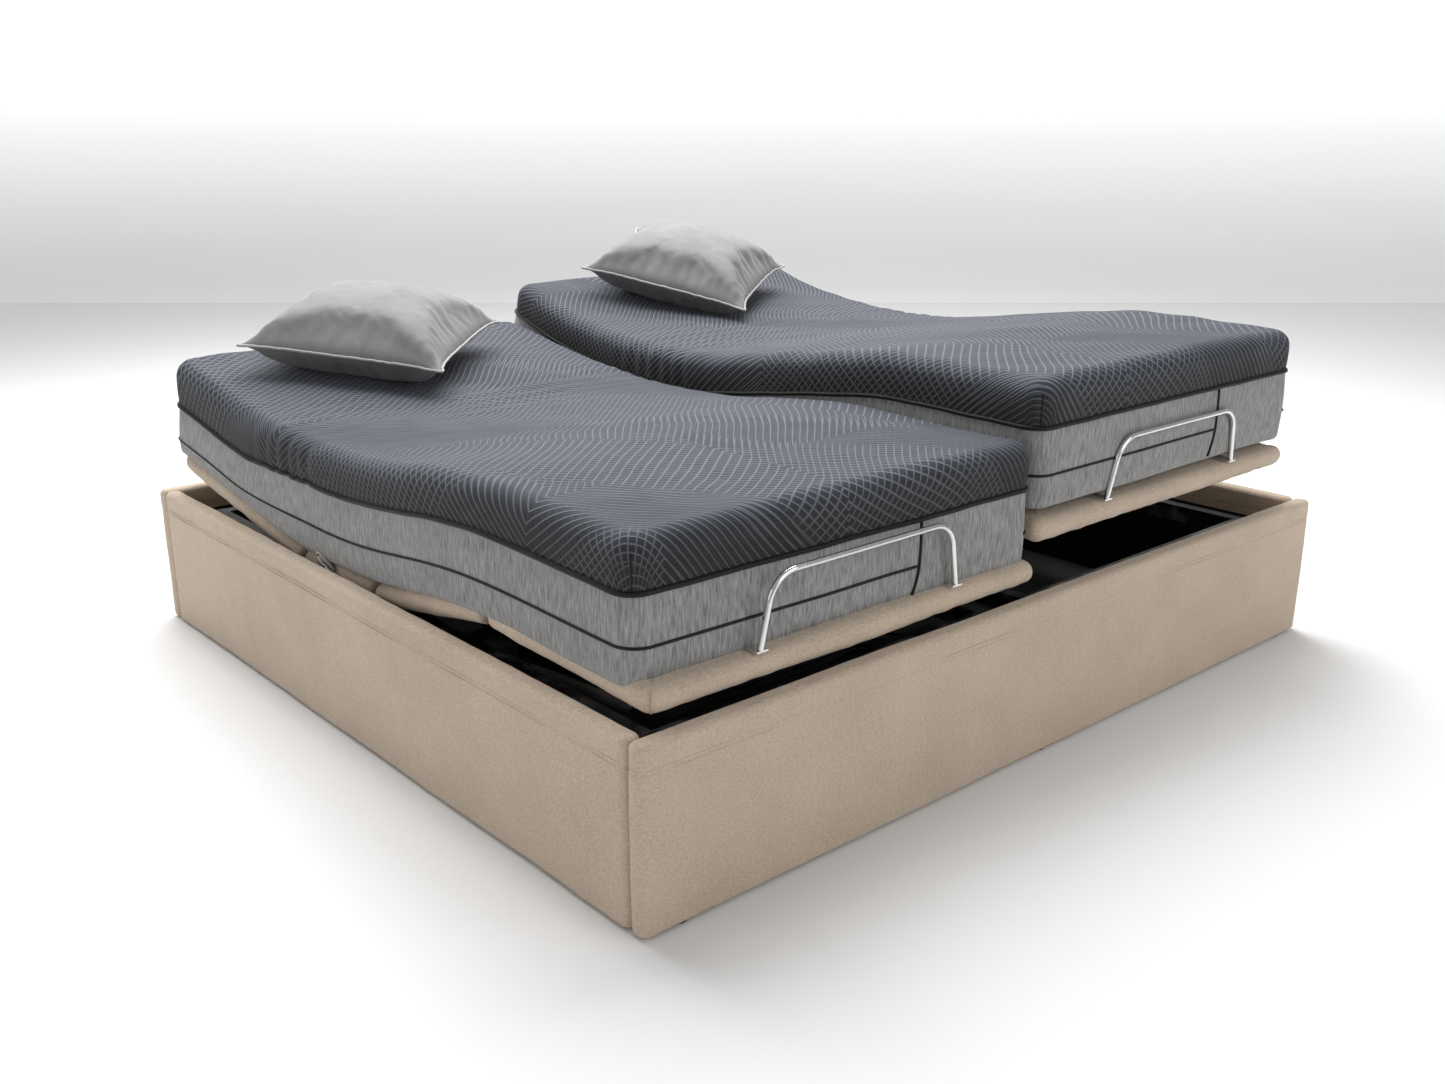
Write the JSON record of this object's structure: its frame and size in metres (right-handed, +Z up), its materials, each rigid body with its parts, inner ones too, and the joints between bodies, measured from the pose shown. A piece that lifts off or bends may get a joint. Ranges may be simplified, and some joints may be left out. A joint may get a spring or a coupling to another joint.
{
  "type": "adjustable bed base",
  "caption": "Double adjustable bed: an upholstered box with two independent lifting units, each with a hinged padded deck, a mattress, a cushion and a foot retainer bar.",
  "frame": {"origin": "on the floor under the middle of the box", "axes": "+X across the bed to its right side, +Y towards the head end, +Z up; the foot end faces -Y"},
  "size_m": [2.122, 2, 0.9104],
  "materials": {
    "beige_upholstery": "matte",
    "mattress_cover": "matte",
    "cushion_cover": "matte",
    "black_lining": "matte",
    "dark_board": "matte",
    "black_steel": "satin",
    "bright_steel": "satin",
    "zinc_steel": "satin",
    "chrome": "polished",
    "black_plastic": "matte",
    "glide_plastic": "matte",
    "cable_rubber": "matte"
  },
  "bodies": {
    "base": {"foot_rail": "beige_upholstery", "head_rail": "beige_upholstery", "left_side_rail": "beige_upholstery", "right_side_rail": "beige_upholstery", "inner_lining": "black_lining", "base_board": "dark_board", "glides": "glide_plastic", "corner_brackets": "black_steel", "corner_bolts": "bright_steel", "control_box": "black_plastic", "internal_cables": "cable_rubber", "left_deck_seat": "beige_upholstery", "left_mattress_seat": "mattress_cover", "left_frame_rails": "black_steel", "left_frame_crossbars": "black_steel", "left_frame_legs": "black_steel", "left_seat_brackets": "black_steel", "left_hinge_pins": "bright_steel", "left_side_loop": "chrome", "left_head_actuator": "black_plastic", "left_leg_actuator": "black_plastic", "right_deck_seat": "beige_upholstery", "right_mattress_seat": "mattress_cover", "right_frame_rails": "black_steel", "right_frame_crossbars": "black_steel", "right_frame_legs": "black_steel", "right_seat_brackets": "black_steel", "right_hinge_pins": "bright_steel", "right_side_loop": "chrome", "right_head_actuator": "black_plastic", "right_leg_actuator": "black_plastic"},
    "left_back_section": {"left_deck_back": "beige_upholstery", "left_mattress_back": "mattress_cover", "left_cushion": "cushion_cover", "left_back_bracket": "black_steel"},
    "left_thigh_section": {"left_deck_thigh": "beige_upholstery", "left_mattress_thigh": "mattress_cover", "left_thigh_bracket": "black_steel"},
    "left_calf_section": {"left_deck_calf": "beige_upholstery", "left_mattress_calf": "mattress_cover", "left_calf_bracket": "black_steel", "left_retainer_bar": "chrome"},
    "left_links": {"left_calf_links": "zinc_steel"},
    "left_head_push_rod": {"left_head_rod": "bright_steel"},
    "left_leg_push_rod": {"left_leg_rod": "bright_steel"},
    "right_back_section": {"right_deck_back": "beige_upholstery", "right_mattress_back": "mattress_cover", "right_cushion": "cushion_cover", "right_back_bracket": "black_steel"},
    "right_thigh_section": {"right_deck_thigh": "beige_upholstery", "right_mattress_thigh": "mattress_cover", "right_thigh_bracket": "black_steel"},
    "right_calf_section": {"right_deck_calf": "beige_upholstery", "right_mattress_calf": "mattress_cover", "right_calf_bracket": "black_steel", "right_retainer_bar": "chrome"},
    "right_links": {"right_calf_links": "zinc_steel"},
    "right_head_push_rod": {"right_head_rod": "bright_steel"},
    "right_leg_push_rod": {"right_leg_rod": "bright_steel"}
  },
  "joints": [
    {"name": "left_back_hinge", "type": "hinge", "parent": "base", "child": "left_back_section", "pos_m": [-0.508, 0.284, 0.335], "axis": [1, 0, 0], "range_deg": [-8.5, 51.5]},
    {"name": "left_thigh_hinge", "type": "hinge", "parent": "base", "child": "left_thigh_section", "pos_m": [-0.508, -0.036, 0.335], "axis": [-1, 0, 0], "range_deg": [-10.3, 24.7]},
    {"name": "left_knee_hinge", "type": "hinge", "parent": "left_thigh_section", "child": "left_calf_section", "pos_m": [-0.508, -0.47195, 0.36341], "axis": [1, 0, 0], "range_deg": [-12.36, 29.64]},
    {"name": "left_link_pivot", "type": "hinge", "parent": "base", "child": "left_links", "pos_m": [-0.508, -0.45703, 0.26772], "axis": [-1, 0, 0], "range_deg": [-12.11, 29.03]},
    {"name": "left_head_rod_slide", "type": "slide", "parent": "base", "child": "left_head_push_rod", "axis": [0, 1, 0], "range_m": [-0.03435, 0.20813]},
    {"name": "left_leg_rod_slide", "type": "slide", "parent": "base", "child": "left_leg_push_rod", "axis": [0, -1, 0], "range_m": [-0.03962, 0.095]},
    {"name": "right_back_hinge", "type": "hinge", "parent": "base", "child": "right_back_section", "pos_m": [0.508, 0.284, 0.335], "axis": [1, 0, 0], "range_deg": [-15, 45]},
    {"name": "right_thigh_hinge", "type": "hinge", "parent": "base", "child": "right_thigh_section", "pos_m": [0.508, -0.036, 0.335], "axis": [-1, 0, 0], "range_deg": [-22.5, 12.5]},
    {"name": "right_knee_hinge", "type": "hinge", "parent": "right_thigh_section", "child": "right_calf_section", "pos_m": [0.508, -0.4561, 0.45489], "axis": [1, 0, 0], "range_deg": [-27, 15]},
    {"name": "right_link_pivot", "type": "hinge", "parent": "base", "child": "right_links", "pos_m": [0.508, -0.45703, 0.26772], "axis": [-1, 0, 0], "range_deg": [-26.45, 14.69]},
    {"name": "right_head_rod_slide", "type": "slide", "parent": "base", "child": "right_head_push_rod", "axis": [0, 1, 0], "range_m": [-0.06062, 0.18186]},
    {"name": "right_leg_rod_slide", "type": "slide", "parent": "base", "child": "right_leg_push_rod", "axis": [0, -1, 0], "range_m": [-0.08654, 0.04808]}
  ],
  "couplings": [
    {"joint": "left_knee_hinge", "follows": "left_thigh_hinge", "ratio": 1.2},
    {"joint": "left_link_pivot", "follows": "left_thigh_hinge", "ratio": 1.1755},
    {"joint": "left_head_rod_slide", "follows": "left_back_hinge", "m_per_rad": 0.23156},
    {"joint": "left_leg_rod_slide", "follows": "left_thigh_hinge", "m_per_rad": 0.22037},
    {"joint": "right_knee_hinge", "follows": "right_thigh_hinge", "ratio": 1.2},
    {"joint": "right_link_pivot", "follows": "right_thigh_hinge", "ratio": 1.1755},
    {"joint": "right_head_rod_slide", "follows": "right_back_hinge", "m_per_rad": 0.23156},
    {"joint": "right_leg_rod_slide", "follows": "right_thigh_hinge", "m_per_rad": 0.22037}
  ]
}
